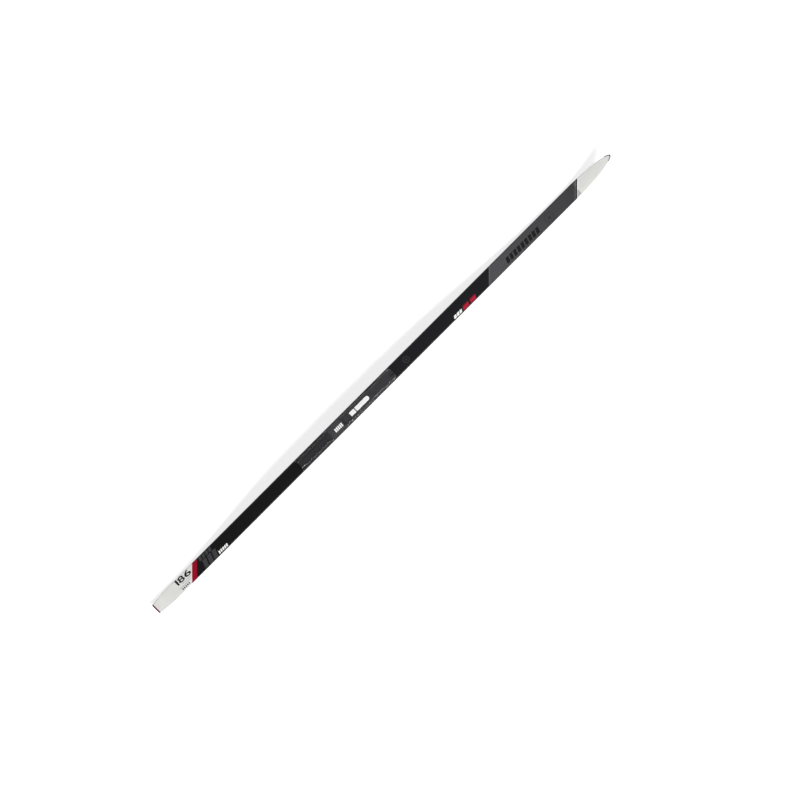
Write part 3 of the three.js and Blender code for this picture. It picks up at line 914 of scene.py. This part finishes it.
class SKI_OT_print_marks(bpy.types.Operator):
    """Print the length mark and the plain generic graphics on the deck"""

    bl_idname = "ski.print_marks"
    bl_label = "Printed marks"

    def bars(self, count, start, stop, low, high, gap, slant=0.0):
        """Equal bars from start to stop, with gaps between them."""
        pitch = (stop - start + gap) / count
        return [slanted_bar(from_tail(start + pitch * i), from_tail(start + pitch * (i + 1) - gap),
                            low, high, slant) for i in range(count)]

    def execute(self, context):
        black = print_ink("Screen ink, black", srgb("#0d0d0e"))
        grey = print_ink("Screen ink, dark grey", srgb("#333336"))
        soft_grey = print_ink("Screen ink, mid grey", srgb("#8a8a8a"))
        white = print_ink("Screen ink, white", srgb("#e6e6e4"))
        red = fading_ink("Screen ink, crimson fading out", srgb("#a80c2e"), srgb("#2a070e"))
        sooty = print_ink("Screen ink, near black", srgb("#2a2a2d"))
        marks = (
            (length_digits("length_mark", (("1", (94, 100.4)), ("8", (102.7, 124.2)),
                                           ("6", (126.7, 149.6))),
                           (1.6, 19), 0.02, deck_height), black),
            (inked("tail_caption_upper", self.bars(9, 107, 141, -3.4, -1.6, 1.0), deck_height),
             soft_grey),
            (inked("tail_caption_lower", self.bars(12, 90, 134, -9.0, -7.2, 1.0), deck_height),
             soft_grey),
            (inked("tail_pictogram_row", self.bars(5, 95.6, 125, -16.6, -12, 2.4), deck_height),
             sooty),
            (inked("rear_pattern_upper", self.bars(4, 188, 236, 7.2, 18.6, 3.4, 0.4),
                   deck_height), grey),
            (inked("rear_pattern_lower", self.bars(3, 186, 238, -18.6, 4.8, 4.6, 0.4),
                   deck_height), grey),
            (inked("rear_caption", self.bars(5, 245, 280, -17.3, -9.4, 2.0, 0.3), deck_height),
             white),
            (inked("front_accent_white", self.bars(3, 1207, 1238, -18.2, -9.8, 2.2, 0.6),
                   deck_height), white),
            (inked("front_accent_red", [
                [(from_tail(1243), -18.3), (from_tail(1267), -18.3),
                 (from_tail(1272), -5.4), (from_tail(1252), -5.4)],
                [(from_tail(1274), -18.3), (from_tail(1295), -18.3),
                 (from_tail(1302), -5.4), (from_tail(1279), -5.4)],
            ], deck_height), red),
            (ring_mark("round_mark", (1025, -1), 10.4, 2.6, deck_height), sooty),
            (inked("graphite_pattern", self.bars(9, 1430, 1562, -13.6, 3.2, 4.2, 0.35),
                   deck_height), black),
            (ring_mark("forward_ring", (1610, -3.5), 15, 1.6, deck_height), sooty),
        )
        for obj, ink in marks:
            settle(obj, ink, "printed_top_sheet")
        return {"FINISHED"}


class SKI_OT_binding_plates(bpy.types.Operator):
    """Make the rear plate, the bridge and the front plate"""

    bl_idname = "ski.binding_plates"
    bl_label = "Binding plates"

    def execute(self, context):
        finish = context.scene.ski_finish
        rim = finish.edge_radius / MM
        lip = finish.lip_radius / MM
        # Glossy nylon for the two rails, so that their rounded lips catch the light.
        nylon, dark_nylon = (
            plastic(name, colour, 0.26, 0.6, 0.01, 12, 0.08, IOR=1.53,
                    Coat_Weight=0.6, Coat_Roughness=0.2)
            for name, colour in (("Glass-filled nylon, moulded", finish.plate_colour[:]),
                                 ("Glass-filled nylon, moulded dark", srgb("#2a2a2c"))))
        # The bridge is duller than the rails: an even dark grey with no bright edge.
        grey_nylon = plastic("Glass-filled nylon, moulded grey", srgb("#2e2e31"), 0.5, 0.6, 0.02,
                             12, 0.06, IOR=1.53)
        channels = []
        for side in (-1, 1):
            near, far = sorted(side * y for y in CHANNEL_SIDES)
            channels.append((rounded_box(*map(from_tail, CHANNEL_SPAN), near, far, CHANNEL_ROUND),
                             PLATE_TOP - CHANNEL_DEPTH, PLATE_TOP + CUTTER_ABOVE))
        rear = moulded_copy("rear_plate_moulding", "rear_binding_plate", channels,
                            ((PLATE_TOP, lip, REAR_LIP_FROM), (FLANGE_TOP, rim / 2, 0)))
        settle(rear, dark_nylon, "plate_nylon", "rear_binding_plate")

        bridge = moulded_copy("bridge_moulding", "plate_bridge", [], ((BRIDGE_TOP, rim, 0),))
        settle(bridge, grey_nylon, "plate_nylon", "plate_bridge")

        latch_slot = (rounded_box(*map(from_tail, SLOT_SPAN), -SLOT_HALF_WIDTH,
                                  SLOT_HALF_WIDTH, SLOT_ROUND),
                      PLATE_TOP - SLOT_DEPTH, PLATE_TOP + CUTTER_ABOVE)
        front = moulded_copy("front_plate_moulding", "front_binding_plate", [latch_slot],
                             ((PLATE_TOP, lip, FRONT_LIP_FROM), (FLANGE_TOP, rim / 2, 0)))
        settle(front, nylon, "plate_nylon", "front_binding_plate")

        white = print_ink("Pad print, white", srgb("#e6e6e4"))
        starts = [from_tail(BRIDGE_BAR_FROM + BRIDGE_BAR_PITCH * i) for i in range(5)]
        patch = [slanted_bar(at, at + BRIDGE_BAR_LENGTH, -8.2, 3.2, 0.1) for at in starts]
        settle(inked("bridge_print", patch, lambda x: BRIDGE_TOP), white, "label_film")
        return {"FINISHED"}


class SKI_OT_labels(bpy.types.Operator):
    """Make the two labels in the front plate's recess, with plain tick marks"""

    bl_idname = "ski.labels"
    bl_label = "Labels"

    def execute(self, context):
        # Smooth film, clean and white beside the plate.
        vinyl = plastic("Vinyl label film", srgb("#e4e4e2"), 0.38, 0.8, 0.006, 10, 0.02, IOR=1.46)
        grey = print_ink("Label print, grey", srgb("#9a9a9a"))
        for node, ticks in (("square_label", 5), ("scale_label", 16)):
            label = moulded_copy(node + "_film", node, [], ((LABEL_TOP, LABEL_EDGE, 0),))
            settle(label, vinyl, "label_film", node)
            low, high = (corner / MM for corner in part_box(node))
            pitch = (high.x - low.x - 2 * LABEL_MARGIN) / ticks
            marks = []
            for i in range(ticks):
                start = low.x + LABEL_MARGIN + pitch * i
                tall = LONG_TICK if i % 4 == 0 else SHORT_TICK
                marks.append(slanted_bar(start, start + TICK_WIDTH, -tall / 2, tall / 2, 0))
            settle(inked(node + "_ticks", marks, lambda x: LABEL_TOP), grey, "label_film")
        return {"FINISHED"}


class SKI_OT_inner_layers(bpy.types.Operator):
    """Finish the layers that stay inside the ski"""

    bl_idname = "ski.inner_layers"
    bl_label = "Inner layers"

    def execute(self, context):
        # Dull black ABS, brown-black phenolic sheet, and pale pitted foam. None of them shows.
        spacer = plastic("ABS, sheet", srgb("#1c1c1d"), 0.5, 0.8, 0.02)
        phenolic = plastic("Phenolic paper sheet", srgb("#2a2522"), 0.5, 0.4, 0.02, 8, 0.12)
        foam = plastic("Foam adhesive tape", srgb("#d6d6d1"), 0.8, 0.5, 0.12, 3, 0.08)
        glass, wood = woven_glass(), light_wood()
        layers = {
            "base_laminate": glass, "upper_laminate": glass,
            "core_left_stringer": wood, "core_centre_stringer": wood,
            "core_right_stringer": wood,
            "tail_spacer": spacer, "tip_spacer": spacer,
            "binding_reinforcement": phenolic,
            "rear_plate_tape": foam, "bridge_tape": foam, "front_plate_tape": foam,
        }
        for name, material in layers.items():
            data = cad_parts[name].data
            data.materials.clear()
            data.materials.append(material)
        return {"FINISHED"}


STEPS = (SKI_OT_stage, SKI_OT_cap, SKI_OT_running_surface, SKI_OT_end_protectors,
         SKI_OT_print_marks, SKI_OT_binding_plates, SKI_OT_labels, SKI_OT_inner_layers)


class SKI_PT_build(bpy.types.Panel):
    """Lists the steps that build the ski"""

    bl_idname = "SKI_PT_build"
    bl_label = "Cross Country Ski"
    bl_space_type = "VIEW_3D"
    bl_region_type = "UI"
    bl_category = "Ski"

    def draw(self, context):
        for step in STEPS:
            self.layout.operator(step.bl_idname)


CLASSES = (SkiSettings, StudioSettings, *STEPS, SKI_PT_build)


def register():
    for cls in CLASSES:
        bpy.utils.register_class(cls)
    bpy.types.Scene.ski_finish = PointerProperty(type=SkiSettings)
    bpy.types.Scene.ski_studio = PointerProperty(type=StudioSettings)


def unregister():
    del bpy.types.Scene.ski_studio
    del bpy.types.Scene.ski_finish
    for cls in reversed(CLASSES):
        bpy.utils.unregister_class(cls)


def main():
    register()
    bpy.ops.ski.stage()
    bpy.ops.ski.cap()
    bpy.ops.ski.running_surface()
    bpy.ops.ski.end_protectors()
    bpy.ops.ski.print_marks()
    bpy.ops.ski.binding_plates()
    bpy.ops.ski.labels()
    bpy.ops.ski.inner_layers()


if __name__ == "__main__":
    main()
